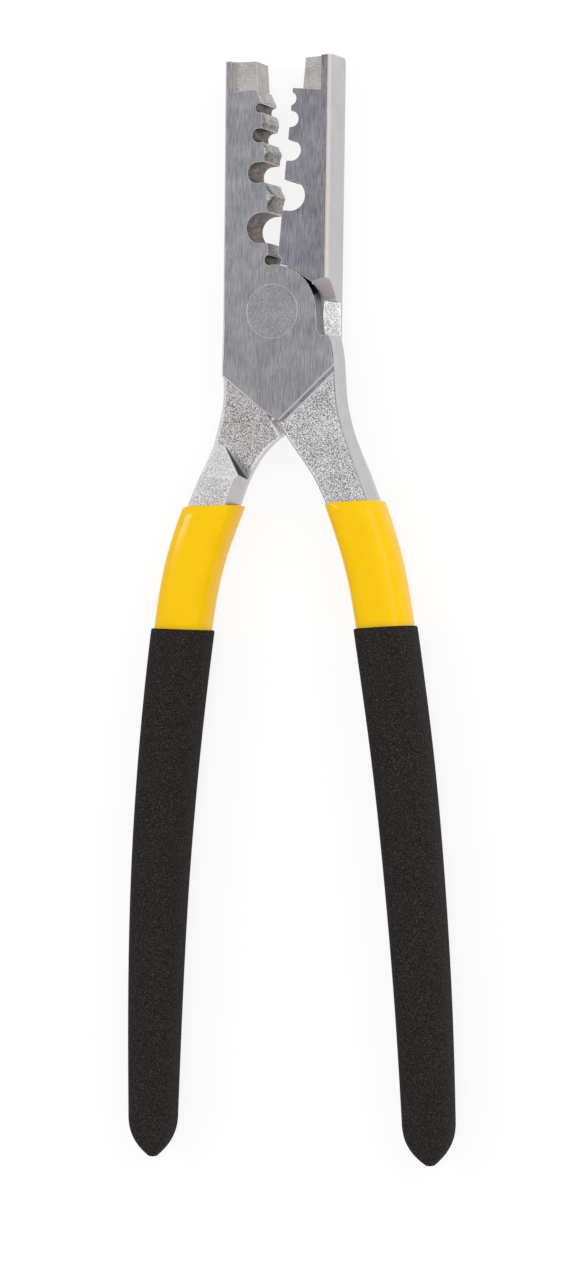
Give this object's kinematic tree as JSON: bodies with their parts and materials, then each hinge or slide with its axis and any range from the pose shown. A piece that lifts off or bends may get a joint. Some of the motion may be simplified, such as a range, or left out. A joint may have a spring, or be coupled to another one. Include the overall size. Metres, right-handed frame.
{
  "type": "ferrule crimping pliers",
  "caption": "Hand crimping pliers with long straight jaws, staggered graded half-round nests with wedge teeth, a flat lap joint on a flush rivet, and sleeved handles.",
  "frame": {"origin": "on the pivot axis, at the back face of the flat head", "axes": "+Y along the closed jaws towards their tips, +Z along the pivot axis out of the front face, +X towards the rear half's jaw"},
  "size_m": [0.0692, 0.2201, 0.0124],
  "materials": {
    "front_steel": "ground and brushed along the jaws, with a speckled blasted surface on the forged neck",
    "rear_steel": "ground and brushed along the jaws, with a speckled blasted surface on the forged neck",
    "rivet_steel": "ground flush with the head",
    "yellow_dip": "glossy dipped vinyl",
    "black_foam": "matt fine-grained foam"
  },
  "bodies": {
    "front": {"front_half": "front_steel", "pivot_rivet": "rivet_steel", "right_inner_sleeve": "yellow_dip", "right_outer_grip": "black_foam"},
    "rear": {"rear_half": "rear_steel", "left_inner_sleeve": "yellow_dip", "left_outer_grip": "black_foam"}
  },
  "joints": [
    {"name": "pivot", "type": "hinge", "parent": "front", "child": "rear", "pos_m": [0, 0, 0.0043], "axis": [0, 0, 1], "range_deg": [-34, 9]}
  ]
}
